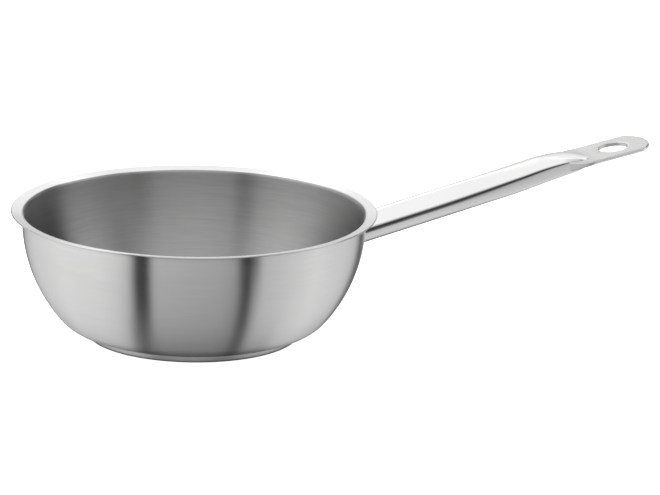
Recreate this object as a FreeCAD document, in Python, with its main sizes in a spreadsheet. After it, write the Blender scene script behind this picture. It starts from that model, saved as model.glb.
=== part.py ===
import FreeCAD, Part
import math
import os
import Sketcher

# Saucier pan in stainless steel, in millimetres: +Z up, origin at the centre of the
# base where it stands, handle towards +X. A pressed bowl with a flared lip has a
# brazed sandwich base and a hollow handle, welded on through a pressed bracket.

SIZES = {
    # bowl, pressed from one sheet
    "rim_radius": 100.0,  # inside of the wall at the rim
    "bowl_sheet": 1.0,
    "pan_height": 75.0,
    "neck_height": 5.0,  # from the top to where the wall's curve begins
    "wall_arc_radius": 89.0,  # outside of the curved wall
    "corner_arc_radius": 22.0,  # outside, between wall and floor
    "lip_reach": 6.5,  # from the outside of the wall to the edge of the lip
    "lip_bend_radius": 1.0,  # under the lip
    "lip_flare": 10.0,  # degrees above level
    # base, a heat spreader closed in by a cap
    "cap_radius": 62.6,
    "cap_sheet": 0.6,
    "cap_corner_radius": 2.0,
    "cap_rim_round": 0.3,
    "core_height": 3.5,
    "core_fit_gap": 0.1,
    "braze_film": 0.2,
    # handle tube, oval, pressed flat at its far end into a tongue
    "handle_root_drop": 21.5,  # from the top to where the tube's axis leaves the wall
    "handle_tilt": 12.5,  # degrees above level
    "tube_width": 22.0,
    "tube_depth": 17.6,
    "tube_side_radius": 7.0,
    "tube_wall": 1.1,
    "grip_length": 117.0,  # from the wall to where the flattening begins
    "press_length": 42.0,
    "tongue_length": 39.0,
    "tongue_width": 31.0,
    "tongue_dip": 2.5,  # degrees below the tube's axis
    "tongue_tip_radius": 20.0,
    "tongue_corner_radius": 5.0,
    "hang_hole_radius": 9.0,
    "hang_hole_setback": 21.5,  # from the tip to the middle of the hole
    # bracket, pressed from one sheet, between bowl and tube
    "bracket_sheet": 1.2,
    "bracket_width": 48.0,
    "bracket_rise": 12.5,  # above the root of the tube's axis
    "bracket_drop": 14.5,
    "bracket_corner_radius": 7.0,
    "spigot_reach": 20.0,
    "spigot_fit_gap": 0.1,
    # welds
    "spot_radius": 2.6,
    "spot_margin": 6.5,  # from the bracket's edges to the middle of a spot
    "weld_leg": 1.8,
    # how far cutting shapes run past what they cut
    "cut_overrun": 6.0,
}

# Rounding of the edges of tongue and nose, as a share of half their depth
TONGUE_EDGE_SHARE = 0.9

# Sizes that follow from others; "Sizes" is the sheet of driving sizes
DERIVED = {
    "outer_radius": "Sizes.rim_radius + Sizes.bowl_sheet",
    "core_floor": "Sizes.cap_sheet + Sizes.braze_film",
    "core_top": "core_floor + Sizes.core_height",
    "bowl_floor": "core_top + Sizes.braze_film",
    "core_radius": "Sizes.cap_radius - Sizes.cap_sheet - Sizes.core_fit_gap",
    "core_round": "Sizes.cap_corner_radius - Sizes.cap_sheet",
    "cap_flat_radius": "Sizes.cap_radius - Sizes.cap_corner_radius",
    # the wall's arc is tangent to the upright neck and to the corner's arc
    "wall_centre": "outer_radius - Sizes.wall_arc_radius",
    "wall_arc_height": "Sizes.pan_height - Sizes.neck_height",
    "corner_height": "bowl_floor + Sizes.corner_arc_radius",
    "corner_centre": "wall_centre + sqrt((Sizes.wall_arc_radius - Sizes.corner_arc_radius)^2"
    " - (wall_arc_height - corner_height)^2)",
    # the lip's middle line is tangent to its bend and ends at the middle of its rounded edge
    "lip_bend_centre": "outer_radius + Sizes.lip_bend_radius",
    "lip_edge_centre": "outer_radius + Sizes.lip_reach - Sizes.bowl_sheet / 2",
    "lip_edge_height": "Sizes.pan_height - Sizes.bowl_sheet / 2",
    "lip_middle_bend": "Sizes.lip_bend_radius + Sizes.bowl_sheet / 2",
    "lip_bend_height": "lip_edge_height - (lip_edge_centre - lip_bend_centre) * tan(Sizes.lip_flare)"
    " - lip_middle_bend / cos(Sizes.lip_flare)",
    # the wall's outside, and the outsides of bracket and weld bead over it
    "wall_form_radius": "Sizes.wall_arc_radius",
    "bracket_form_radius": "wall_form_radius + Sizes.bracket_sheet",
    "bead_form_radius": "bracket_form_radius + Sizes.weld_leg",
    "handle_root_height": "Sizes.pan_height - Sizes.handle_root_drop",
    "bracket_top": "handle_root_height + Sizes.bracket_rise",
    "bracket_bottom": "handle_root_height - Sizes.bracket_drop",
    "spot_side": "Sizes.bracket_width / 2 - Sizes.spot_margin",
    "spot_upper": "bracket_top - Sizes.spot_margin",
    "spot_lower": "bracket_bottom + Sizes.spot_margin",
    "through_wall": "outer_radius + Sizes.cut_overrun",
    # along the tube's axis, from where it leaves the wall
    "tongue_depth": "2 * Sizes.tube_wall",
    "tongue_edge_radius": f"{TONGUE_EDGE_SHARE} * Sizes.tube_wall",
    "tongue_start": "Sizes.grip_length + Sizes.press_length",
    "tongue_end": "tongue_start + Sizes.tongue_length",
    "tip_drop": "Sizes.tongue_length * tan(Sizes.tongue_dip)",
    "tip_centre": "tongue_end - Sizes.tongue_tip_radius",
    "tip_cut_far": "tongue_end + Sizes.cut_overrun",
    "tip_cut_side": "Sizes.tongue_width / 2 + Sizes.cut_overrun",
    "hang_hole_place": "Sizes.tongue_length - Sizes.hang_hole_setback",
}

# Share of the way from oval to flat at each share of the pressed length
PRESS_PLACE_SHARES = (0.0, 0.25, 0.5, 0.75)
PRESS_FLAT_SHARES = (0.0, 0.07, 0.27, 0.58)
TONGUE_FLAT_SHARE = 1.0
# The tube then closes in a rounded nose over the tongue: places as shares of the pressed
# length, widths of the tongue's width, and rises of the tube's rise over the tongue. It ends
# below the tongue's face, and the hollow ends inside it
NOSE_PLACE_SHARES = (0.9, 1.02, 1.12)
NOSE_WIDTH_SHARES = (0.86, 0.62, 0.26)
NOSE_RISE_SHARES = (0.2, 0.07, 0.0)
NOSE_LEVEL_SHARE = 0.7
HOLLOW_END_PLACE_SHARE = 0.86
HOLLOW_END_WIDTH_SHARE = 0.88
HOLLOW_END_RISE_SHARE = 0.28
# The tongue's flanges leave the tube's sides at these shares of the pressed length and flattening
FLANGE_PLACE_SHARE = 0.78
FLANGE_FLAT_SHARE = 0.62

V = FreeCAD.Vector


def derive_section(name, place, half_width, half_depth, side, rise="0"):
    """Sizes of a four-arc oval across the tube's axis, from formulas for its main ones."""
    DERIVED[name + "_place"] = place
    DERIVED[name + "_rise"] = rise
    DERIVED[name + "_half_width"] = half_width
    DERIVED[name + "_half_depth"] = half_depth
    DERIVED[name + "_side"] = side
    DERIVED[name + "_side_place"] = f"{name}_half_width - {name}_side"
    DERIVED[name + "_crown"] = (
        f"({name}_side_place^2 + {name}_half_depth^2 - {name}_side^2)"
        f" / (2 * ({name}_half_depth - {name}_side))"
    )


def derive_oval(name, inset, place, flat_share=0.0, drop="0"):
    """An oval a share of the way from tube to tongue, its middle a drop below the axis.

    The inset is from the tube's outer face.
    """
    derive_section(
        name,
        place,
        f"(Sizes.tube_width + {flat_share} * (Sizes.tongue_width - Sizes.tube_width)) / 2 - ({inset})",
        f"(Sizes.tube_depth + {flat_share} * (tongue_depth - Sizes.tube_depth)) / 2 - ({inset})",
        f"Sizes.tube_side_radius + {flat_share} * (tongue_edge_radius - Sizes.tube_side_radius)"
        f" - ({inset})",
        f"-({drop})",
    )


def press_place(share):
    return f"Sizes.grip_length + {share} * Sizes.press_length"


def derive_nose(name, inset, place_share, width_share, rise_share):
    """An oval of the rounded nose, an inset inside its outer face."""
    rise = f"{rise_share} * (Sizes.tube_depth - tongue_depth) / 2"
    derive_section(
        name,
        press_place(place_share),
        f"{width_share} * Sizes.tongue_width / 2 - ({inset})",
        f"{NOSE_LEVEL_SHARE} * Sizes.tube_wall + {rise} - ({inset})",
        f"{TONGUE_EDGE_SHARE} * {name}_half_depth",
    )


# Straight ovals start inside the bowl's wall, where they are cut to fit against it
inside_wall = "-Sizes.tube_depth"
derive_oval("tube", "0", inside_wall)
derive_oval("bore", "Sizes.tube_wall", inside_wall)
derive_oval("spigot", "Sizes.tube_wall + Sizes.spigot_fit_gap", inside_wall)
derive_oval("spigot_hollow", "Sizes.tube_wall + Sizes.spigot_fit_gap + Sizes.bracket_sheet", inside_wall)
derive_oval("bead", "-Sizes.weld_leg", inside_wall)
for index, (place_share, flat_share) in enumerate(zip(PRESS_PLACE_SHARES, PRESS_FLAT_SHARES)):
    derive_oval(f"press_{index}", "0", press_place(place_share), flat_share)
    derive_oval(f"hollow_{index}", "Sizes.tube_wall", press_place(place_share), flat_share)
for index, shares in enumerate(zip(NOSE_PLACE_SHARES, NOSE_WIDTH_SHARES, NOSE_RISE_SHARES)):
    derive_nose(f"nose_{index}", "0", *shares)
derive_nose(
    "hollow_end", "Sizes.tube_wall", HOLLOW_END_PLACE_SHARE, HOLLOW_END_WIDTH_SHARE, HOLLOW_END_RISE_SHARE
)
derive_oval("plate", "0", "tongue_start", TONGUE_FLAT_SHARE)
derive_oval("tip", "0", "tongue_end", TONGUE_FLAT_SHARE, "tip_drop")
derive_section(
    "flange",
    press_place(FLANGE_PLACE_SHARE),
    f"(Sizes.tube_width + {FLANGE_FLAT_SHARE} * (Sizes.tongue_width - Sizes.tube_width)"
    " - Sizes.tube_wall) / 2",
    "Sizes.tube_wall",
    "tongue_edge_radius",
)

doc = FreeCAD.newDocument("saucier_pan")


def fill_sheet(name, cells, mark):
    sheet = doc.addObject("Spreadsheet::Sheet", name)
    for row, (alias, content) in enumerate(cells.items(), start=1):
        sheet.set(f"A{row}", alias)
        sheet.set(f"B{row}", f"{mark}{content}")
        sheet.setAlias(f"B{row}", alias)
    doc.recompute()
    return sheet


sizes_sheet = fill_sheet("Sizes", SIZES, "")
derived_sheet = fill_sheet("Derived", DERIVED, "=")


def size(alias):
    """A size as the sheets hold it."""
    return float((sizes_sheet if alias in SIZES else derived_sheet).get(alias))


class Profile:
    """A sketch on one of a body's own planes, whose sizes follow the sheets."""

    def __init__(self, body, name, role):
        self.sketch = body.newObject("Sketcher::SketchObject", name)
        plane = next(item for item in body.Origin.OriginFeatures if item.Role == role)
        self.sketch.AttachmentSupport = [(plane, "")]
        self.sketch.MapMode = "FlatFace"

    def line(self, start, end):
        return self.sketch.addGeometry(Part.LineSegment(V(*start, 0), V(*end, 0)), False)

    def arc(self, centre, radius, first, last):
        circle = Part.Circle(V(*centre, 0), V(0, 0, 1), radius)
        turn = Part.ArcOfCircle(circle, math.radians(first), math.radians(last))
        return self.sketch.addGeometry(turn, False)

    def circle(self, centre, radius):
        return self.sketch.addGeometry(Part.Circle(V(*centre, 0), V(0, 0, 1), radius), False)

    def rule(self, kind, *rows):
        """The same kind of constraint on each row of places."""
        for places in rows:
            self.sketch.addConstraint(Sketcher.Constraint(kind, *places))

    def dimension(self, kind, places, formula):
        """A driving dimension, from the origin where it is a distance, that follows a formula."""
        if kind == "Radius":
            drawn = self.sketch.Geometry[places[0]].Radius
        else:
            drawn = getattr(self.sketch.getPoint(*places), "x" if kind == "DistanceX" else "y")
            places = (-1, 1, *places) if drawn >= 0 else (*places, -1, 1)
        index = self.sketch.addConstraint(Sketcher.Constraint(kind, *places, abs(drawn)))
        self.sketch.setExpression(f"Constraints[{index}]", formula)


def new_body(name):
    return doc.addObject("PartDesign::Body", name)


def new_feature(body, kind, name, profile):
    feature = body.newObject("PartDesign::" + kind, name)
    feature.Profile = profile.sketch
    return feature


def pad(body, name, profile, length_formula):
    feature = new_feature(body, "Pad", name, profile)
    feature.setExpression("Length", length_formula)
    doc.recompute()
    return feature


def revolve(body, name, profile, angle=360):
    """Turn a profile drawn in the upright plane round the pan's axis, half the angle each way."""
    feature = new_feature(body, "Revolution", name, profile)
    feature.ReferenceAxis = (profile.sketch, ["V_Axis"])
    feature.Angle = angle
    feature.Midplane = True
    doc.recompute()


def loft(body, kind, name, ovals):
    feature = new_feature(body, kind, name, ovals[0])
    feature.Sections = [oval.sketch for oval in ovals[1:]]
    doc.recompute()


def round_edges(body, name, feature, test, formula):
    """Round the edges of a feature that pass a test."""
    edges = enumerate(feature.Shape.Edges, start=1)
    fillet = body.newObject("PartDesign::Fillet", name)
    fillet.Base = (feature, [f"Edge{index}" for index, edge in edges if test(edge)])
    fillet.setExpression("Radius", formula)
    doc.recompute()


def pocket(body, name, profile, length_formula=None):
    """Cut a profile right through the body both ways, or along its normal for a length."""
    before = body.Shape.Volume
    feature = new_feature(body, "Pocket", name, profile)
    if length_formula:
        feature.Reversed = True
        feature.setExpression("Length", length_formula)
    else:
        feature.Type = "ThroughAll"
        feature.Midplane = True
    doc.recompute()
    if not feature.Shape.Volume < before:
        raise RuntimeError(name + " cut nothing")


def combine(kind, name, base, tool):
    """A boolean of two objects."""
    result = doc.addObject("Part::" + kind, name)
    result.Base = base
    result.Tool = tool
    return result


def make_bowl():
    """The pressed bowl: flat floor, two tangent arcs for the wall, and a flared lip."""
    body = new_body("bowl")
    profile = Profile(body, "bowl_profile", "XZ_Plane")
    sheet = size("bowl_sheet")
    low = size("bowl_floor")
    upright = size("wall_arc_height")
    outer = size("outer_radius")
    inner = size("rim_radius")
    bend_x = size("lip_bend_centre")
    bend_z = size("lip_bend_height")
    bend = size("lip_bend_radius")
    edge_x = size("lip_edge_centre")
    edge_z = size("lip_edge_height")
    flare = size("lip_flare")
    across_x = -math.sin(math.radians(flare))
    across_z = math.cos(math.radians(flare))
    corner_x = size("corner_centre")
    corner_z = size("corner_height")
    wall_x = size("wall_centre")
    meet = math.degrees(math.atan2(corner_z - upright, corner_x - wall_x))
    under = profile.line((0, low), (corner_x, low))
    corner_out = profile.arc((corner_x, corner_z), size("corner_arc_radius"), -90, meet)
    wall_out = profile.arc((wall_x, upright), size("wall_arc_radius"), meet, 0)
    neck_out = profile.line((outer, upright), (outer, bend_z))
    bend_out = profile.arc((bend_x, bend_z), bend, 90 + flare, 180)
    under_start = (bend_x + bend * across_x, bend_z + bend * across_z)
    under_end = (edge_x - sheet / 2 * across_x, edge_z - sheet / 2 * across_z)
    lip_under = profile.line(under_start, under_end)
    lip_edge = profile.arc((edge_x, edge_z), sheet / 2, flare - 90, flare + 90)
    top_start = (edge_x + sheet / 2 * across_x, edge_z + sheet / 2 * across_z)
    top_end = (bend_x + (bend + sheet) * across_x, bend_z + (bend + sheet) * across_z)
    lip_top = profile.line(top_start, top_end)
    bend_in = profile.arc((bend_x, bend_z), bend + sheet, 90 + flare, 180)
    neck_in = profile.line((inner, bend_z), (inner, upright))
    wall_in = profile.arc((wall_x, upright), size("wall_arc_radius") - sheet, meet, 0)
    corner_in = profile.arc((corner_x, corner_z), size("corner_arc_radius") - sheet, -90, meet)
    floor = profile.line((corner_x, low + sheet), (0, low + sheet))
    axis = profile.line((0, low + sheet), (0, low))
    profile.rule(
        "Tangent",
        (under, 2, corner_out, 1),
        (corner_out, 2, wall_out, 1),
        (wall_out, 2, neck_out, 1),
        (neck_out, 2, bend_out, 2),
        (bend_out, 1, lip_under, 1),
        (lip_under, 2, lip_edge, 1),
        (lip_edge, 2, lip_top, 1),
        (lip_top, 2, bend_in, 1),
        (bend_in, 2, neck_in, 1),
        (neck_in, 2, wall_in, 2),
        (wall_in, 1, corner_in, 2),
        (corner_in, 1, floor, 1),
    )
    profile.rule(
        "Coincident",
        (floor, 2, axis, 1),
        (axis, 2, under, 1),
        (bend_out, 3, bend_in, 3),
        (wall_out, 3, wall_in, 3),
        (corner_out, 3, corner_in, 3),
    )
    profile.rule("Horizontal", (under,), (floor,))
    profile.rule("Vertical", (neck_out,), (neck_in,), (axis,))
    profile.rule("PointOnObject", (axis, 2, -2))
    profile.dimension("DistanceY", (under, 1), "Derived.bowl_floor")
    profile.dimension("Radius", (corner_out,), "Sizes.corner_arc_radius")
    profile.dimension("Radius", (wall_out,), "Sizes.wall_arc_radius")
    profile.dimension("DistanceX", (neck_out, 1), "Derived.outer_radius")
    profile.dimension("DistanceY", (wall_out, 3), "Derived.wall_arc_height")
    profile.dimension("Radius", (bend_out,), "Sizes.lip_bend_radius")
    profile.dimension("Radius", (bend_in,), "Sizes.lip_bend_radius + Sizes.bowl_sheet")
    profile.dimension("DistanceY", (bend_out, 3), "Derived.lip_bend_height")
    profile.dimension("DistanceX", (lip_edge, 3), "Derived.lip_edge_centre")
    profile.dimension("DistanceY", (lip_edge, 3), "Derived.lip_edge_height")
    revolve(body, "bowl_turned", profile)
    return body


def make_disc(name, radius, floor, height_formula):
    """A plain round disc about the pan's axis, from the names of its derived sizes."""
    body = new_body(name)
    profile = Profile(body, name + "_profile", "XY_Plane")
    disc = profile.circle((0, 0), size(radius))
    profile.rule("Coincident", (disc, 3, -1, 1))
    profile.dimension("Radius", (disc,), "Derived." + radius)
    profile.sketch.setExpression("AttachmentOffset.Base.z", floor)
    pad(body, name + "_pad", profile, height_formula)
    return body


def make_base_core():
    """The aluminium heat spreader, rounded below to sit in the cap's corner."""
    body = make_disc("base_core", "core_radius", "Derived.core_floor", "Sizes.core_height")
    middle = size("core_floor") + size("core_height") / 2

    def is_lower_rim(edge):
        return edge.Closed and edge.CenterOfMass.z < middle

    round_edges(body, "base_core_round", body.Tip, is_lower_rim, "Derived.core_round")
    return body


def make_base_cap():
    """The steel cup that closes in the heat spreader, up to the underside of the bowl."""
    body = new_body("base_cap")
    profile = Profile(body, "base_cap_profile", "XZ_Plane")
    radius = size("cap_radius")
    flat = size("cap_flat_radius")
    sheet = size("cap_sheet")
    corner = size("cap_corner_radius")
    rim_round = size("cap_rim_round")
    top = size("bowl_floor")
    under = profile.line((0, 0), (flat, 0))
    corner_out = profile.arc((flat, corner), corner, -90, 0)
    side_out = profile.line((radius, corner), (radius, top - rim_round))
    rim = profile.arc((radius - rim_round, top - rim_round), rim_round, 0, 90)
    rim_top = profile.line((radius - rim_round, top), (radius - sheet, top))
    side_in = profile.line((radius - sheet, top), (radius - sheet, corner))
    corner_in = profile.arc((flat, corner), corner - sheet, -90, 0)
    inside = profile.line((flat, sheet), (0, sheet))
    axis = profile.line((0, sheet), (0, 0))
    profile.rule(
        "Tangent",
        (under, 2, corner_out, 1),
        (corner_out, 2, side_out, 1),
        (side_out, 2, rim, 1),
        (rim, 2, rim_top, 1),
        (side_in, 2, corner_in, 2),
        (corner_in, 1, inside, 1),
    )
    profile.rule(
        "Coincident",
        (rim_top, 2, side_in, 1),
        (inside, 2, axis, 1),
        (axis, 2, under, 1),
        (under, 1, -1, 1),
        (corner_out, 3, corner_in, 3),
    )
    profile.rule("Horizontal", (under,), (rim_top,), (inside,))
    profile.rule("Vertical", (side_out,), (side_in,), (axis,))
    profile.dimension("Radius", (corner_out,), "Sizes.cap_corner_radius")
    profile.dimension("Radius", (rim,), "Sizes.cap_rim_round")
    profile.dimension("DistanceX", (side_out, 1), "Sizes.cap_radius")
    profile.dimension("DistanceY", (rim_top, 1), "Derived.bowl_floor")
    profile.dimension("DistanceY", (inside, 1), "Sizes.cap_sheet")
    revolve(body, "base_cap_turned", profile)
    return body


def make_wall_form(name):
    """A sector on the handle's side, bounded by the bowl's wall or a surface parallel to it."""
    body = new_body(name)
    profile = Profile(body, name + "_profile", "XZ_Plane")
    radius = size(name + "_radius")
    wall_x = size("wall_centre")
    upright = size("wall_arc_height")
    low = size("corner_height")
    top = size("pan_height")
    outer = wall_x + radius
    first = math.asin((low - upright) / radius)
    floor = profile.line((0, low), (wall_x + radius * math.cos(first), low))
    wall = profile.arc((wall_x, upright), radius, math.degrees(first), 0)
    neck = profile.line((outer, upright), (outer, top))
    ceiling = profile.line((outer, top), (0, top))
    axis = profile.line((0, top), (0, low))
    profile.rule("Tangent", (wall, 2, neck, 1))
    profile.rule(
        "Coincident",
        (floor, 2, wall, 1),
        (neck, 2, ceiling, 1),
        (ceiling, 2, axis, 1),
        (axis, 2, floor, 1),
    )
    profile.rule("Horizontal", (floor,), (ceiling,))
    profile.rule("Vertical", (neck,), (axis,))
    profile.rule("PointOnObject", (axis, 1, -2))
    profile.dimension("DistanceX", (wall, 3), "Derived.wall_centre")
    profile.dimension("DistanceY", (wall, 3), "Derived.wall_arc_height")
    profile.dimension("Radius", (wall,), f"Derived.{name}_radius")
    profile.dimension("DistanceY", (floor, 1), "Derived.corner_height")
    profile.dimension("DistanceY", (ceiling, 1), "Sizes.pan_height")
    revolve(body, name + "_turned", profile, angle=90)
    return body


def new_handle_body(name):
    """A body whose X axis is the tube's axis, with its origin where that leaves the wall."""
    body = new_body(name)
    body.Placement = FreeCAD.Placement(V(0, 0, 0), FreeCAD.Rotation(V(0, -1, 0), size("handle_tilt")))
    body.setExpression("Placement.Base.x", "Derived.outer_radius")
    body.setExpression("Placement.Base.z", "Derived.handle_root_height")
    body.setExpression("Placement.Rotation.Angle", "Sizes.handle_tilt")
    return body


def draw_oval(body, name):
    """A four-arc oval across the tube's axis, with the sizes derived under its name."""
    profile = Profile(body, name + "_oval", "YZ_Plane")
    profile.sketch.setExpression("AttachmentOffset.Base.z", f"Derived.{name}_place")
    profile.sketch.setExpression("AttachmentOffset.Base.y", f"Derived.{name}_rise")
    side = size(name + "_side")
    side_place = size(name + "_side_place")
    crown = size(name + "_crown")
    fall = crown - size(name + "_half_depth")
    turn = math.degrees(math.atan2(fall, side_place))
    right = profile.arc((side_place, 0), side, -turn, turn)
    upper = profile.arc((0, -fall), crown, turn, 180 - turn)
    left = profile.arc((-side_place, 0), side, 180 - turn, 180 + turn)
    lower = profile.arc((0, fall), crown, 180 + turn, 360 - turn)
    profile.rule("Tangent", (right, 2, upper, 1))
    profile.rule("Coincident", (upper, 2, left, 1), (left, 2, lower, 1), (lower, 2, right, 1))
    profile.rule("Symmetric", (right, 1, right, 2, -1), (left, 1, left, 2, -1), (upper, 1, upper, 2, -2))
    profile.rule("Equal", (right, left), (upper, lower))
    profile.dimension("Radius", (right,), f"Derived.{name}_side")
    profile.dimension("Radius", (upper,), f"Derived.{name}_crown")
    profile.dimension("DistanceX", (right, 3), f"Derived.{name}_side_place")
    return profile


def make_straight_oval(body_name, oval_name, reach_formula):
    """A straight oval bar along the tube's axis, from inside the bowl's wall to a reach beyond it."""
    body = new_handle_body(body_name)
    profile = draw_oval(body, oval_name)
    pad(body, body_name + "_pad", profile, "Sizes.tube_depth + " + reach_formula)
    return body


def draw_tip(body):
    """What is cut away round the tongue's end: beyond a shallow arc with two rounded corners."""
    tip_radius = size("tongue_tip_radius")
    corner_radius = size("tongue_corner_radius")
    half_width = size("tongue_width") / 2
    centre = size("tip_centre")
    far = size("tip_cut_far")
    side = size("tip_cut_side")
    corner_y = half_width - corner_radius
    corner_x = centre + math.sqrt((tip_radius - corner_radius) ** 2 - corner_y**2)
    turn = math.degrees(math.atan2(corner_y, corner_x - centre))
    profile = Profile(body, "tip_profile", "XY_Plane")
    end = profile.arc((centre, 0), tip_radius, -turn, turn)
    upper = profile.arc((corner_x, corner_y), corner_radius, turn, 90)
    lower = profile.arc((corner_x, -corner_y), corner_radius, -90, -turn)
    upper_step = profile.line((corner_x, half_width), (corner_x, side))
    upper_side = profile.line((corner_x, side), (far, side))
    far_side = profile.line((far, side), (far, -side))
    lower_side = profile.line((far, -side), (corner_x, -side))
    lower_step = profile.line((corner_x, -side), (corner_x, -half_width))
    profile.rule("Tangent", (upper, 1, end, 2), (end, 1, lower, 2))
    profile.rule(
        "Coincident",
        (upper, 2, upper_step, 1),
        (upper_step, 2, upper_side, 1),
        (upper_side, 2, far_side, 1),
        (far_side, 2, lower_side, 1),
        (lower_side, 2, lower_step, 1),
        (lower_step, 2, lower, 1),
    )
    profile.rule("Vertical", (upper_step,), (far_side,), (lower_step,))
    profile.rule("Vertical", (upper, 3, upper, 2), (lower, 3, lower, 1))
    profile.rule("Horizontal", (upper_side,), (lower_side,))
    profile.rule("PointOnObject", (end, 3, -1))
    profile.rule("Equal", (upper, lower))
    profile.dimension("Radius", (end,), "Sizes.tongue_tip_radius")
    profile.dimension("Radius", (upper,), "Sizes.tongue_corner_radius")
    profile.dimension("DistanceX", (end, 3), "Derived.tip_centre")
    profile.dimension("DistanceY", (upper, 2), "Sizes.tongue_width / 2")
    profile.dimension("DistanceY", (lower, 1), "Sizes.tongue_width / 2")
    profile.dimension("DistanceX", (far_side, 1), "Derived.tip_cut_far")
    profile.dimension("DistanceY", (upper_side, 1), "Derived.tip_cut_side")
    profile.dimension("DistanceY", (lower_side, 1), "Derived.tip_cut_side")
    return profile


def draw_hang_hole(body):
    """The round hole through the tongue, square to its dipping face."""
    profile = Profile(body, "hang_hole_profile", "XY_Plane")
    dip = FreeCAD.Rotation(V(0, 1, 0), size("tongue_dip"))
    profile.sketch.AttachmentOffset = FreeCAD.Placement(V(size("tongue_start"), 0, 0), dip)
    profile.sketch.setExpression("AttachmentOffset.Base.x", "Derived.tongue_start")
    profile.sketch.setExpression("AttachmentOffset.Rotation.Angle", "Sizes.tongue_dip")
    hole = profile.circle((size("hang_hole_place"), 0), size("hang_hole_radius"))
    profile.rule("PointOnObject", (hole, 3, -1))
    profile.dimension("DistanceX", (hole, 3), "Derived.hang_hole_place")
    profile.dimension("Radius", (hole,), "Sizes.hang_hole_radius")
    return profile


def make_tube():
    """The hollow handle: an oval tube whose far end is pressed flat.

    The tube closes in a rounded nose, whose foot is a U-shaped crease on the flat tongue. The
    tongue's flanges run back beside the nose to the tube's sides.
    """
    body = make_straight_oval("tube_whole", "tube", "Sizes.grip_length")
    pressed = [draw_oval(body, f"press_{index}") for index in range(len(PRESS_PLACE_SHARES))]
    nose = [draw_oval(body, f"nose_{index}") for index in range(len(NOSE_PLACE_SHARES))]
    loft(body, "AdditiveLoft", "tube_press", pressed + nose)
    plate = draw_oval(body, "plate")
    loft(body, "AdditiveLoft", "tongue", [plate, draw_oval(body, "tip")])
    loft(body, "AdditiveLoft", "tongue_flanges", [draw_oval(body, "flange"), plate])
    pocket(body, "tip_cut", draw_tip(body))
    pocket(body, "hang_hole", draw_hang_hole(body))
    hollow = [draw_oval(body, f"hollow_{index}") for index in range(len(PRESS_PLACE_SHARES))]
    loft(body, "SubtractiveLoft", "tube_hollow", hollow + [draw_oval(body, "hollow_end")])
    pocket(body, "tube_bore", draw_oval(body, "bore"), "Sizes.tube_depth + Sizes.grip_length")
    return body


def make_bracket_blank():
    """The bracket's outline with rounded corners, as a block along X through the wall."""
    body = new_body("bracket_blank")
    profile = Profile(body, "bracket_outline", "YZ_Plane")
    side = size("bracket_width") / 2
    bottom = size("bracket_bottom")
    top = size("bracket_top")
    corners = ((-side, bottom), (side, bottom), (side, top), (-side, top))
    edges = [profile.line(corners[index - 1], corners[index]) for index in range(4)]
    profile.rule("Coincident", *((edges[index - 1], 2, edges[index], 1) for index in range(4)))
    profile.rule("Vertical", (edges[0],), (edges[2],))
    profile.rule("Horizontal", (edges[1],), (edges[3],))
    profile.dimension("DistanceX", (edges[1], 1), "Sizes.bracket_width / 2")
    profile.dimension("DistanceX", (edges[1], 2), "Sizes.bracket_width / 2")
    profile.dimension("DistanceY", (edges[1], 1), "Derived.bracket_bottom")
    profile.dimension("DistanceY", (edges[3], 1), "Derived.bracket_top")
    block = pad(body, "bracket_block", profile, "Derived.through_wall")

    def is_corner(edge):
        return edge.BoundBox.XLength > max(edge.BoundBox.YLength, edge.BoundBox.ZLength)

    round_edges(body, "bracket_block_round", block, is_corner, "Sizes.bracket_corner_radius")
    return body


def make_spot_rods():
    """Four rods along X through the bracket, where it is welded to the wall."""
    body = new_body("spot_rods")
    profile = Profile(body, "spot_places", "YZ_Plane")
    side = size("spot_side")
    for height in ("spot_upper", "spot_lower"):
        for place in (side, -side):
            spot = profile.circle((place, size(height)), size("spot_radius"))
            profile.dimension("Radius", (spot,), "Sizes.spot_radius")
            profile.dimension("DistanceX", (spot, 3), "Derived.spot_side")
            profile.dimension("DistanceY", (spot, 3), "Derived." + height)
    pad(body, "spot_rods_pad", profile, "Derived.through_wall")
    return body


def make_handle():
    """The bracket, its spot welds, the tube and the bead round the tube's root."""
    wall_form = make_wall_form("wall_form")
    bracket_form = make_wall_form("bracket_form")
    bead_form = make_wall_form("bead_form")
    blank = make_bracket_blank()
    rods = make_spot_rods()
    spigot = make_straight_oval("spigot_whole", "spigot", "Sizes.spigot_reach")
    spigot_hollow = make_straight_oval(
        "spigot_core", "spigot_hollow", "Sizes.spigot_reach - Sizes.bracket_sheet"
    )
    tube_whole = make_tube()
    bead_outside = make_straight_oval("bead_outside", "bead", "Sizes.tube_depth")
    bead_inside = make_straight_oval("bead_inside", "tube", "Sizes.tube_depth")

    block = combine("Common", "bracket_block_curved", blank, bracket_form)
    pressing = combine("Fuse", "bracket_pressing", block, spigot)
    coped = combine("Cut", "bracket_coped", pressing, wall_form)
    opened = combine("Cut", "bracket_opened", coped, spigot_hollow)
    bracket = combine("Cut", "handle_bracket", opened, rods)
    spots = combine("Common", "bracket_spot_welds", opened, rods)
    tube = combine("Cut", "handle_tube", tube_whole, bracket_form)
    bead_ring = combine("Cut", "bead_ring", bead_outside, bead_inside)
    bead_shell = combine("Cut", "bead_shell", bead_form, bracket_form)
    bead = combine("Common", "handle_root_weld", bead_ring, bead_shell)
    doc.recompute()
    return [bracket, spots, tube, bead]


parts = [
    make_bowl(),
    make_disc("base_braze_upper", "core_radius", "Derived.core_top", "Sizes.braze_film"),
    make_base_core(),
    make_disc("base_braze_lower", "cap_flat_radius", "Sizes.cap_sheet", "Sizes.braze_film"),
    make_base_cap(),
]
parts += make_handle()

for item in doc.Objects:
    if "Invalid" in item.State or "Error" in item.State:
        raise RuntimeError(f"{item.Name} failed: {item.State}")
for part in parts:
    if part.Shape.isNull() or not part.Shape.isValid() or not part.Shape.Solids:
        raise RuntimeError(f"{part.Label} has no sound shape")

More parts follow.
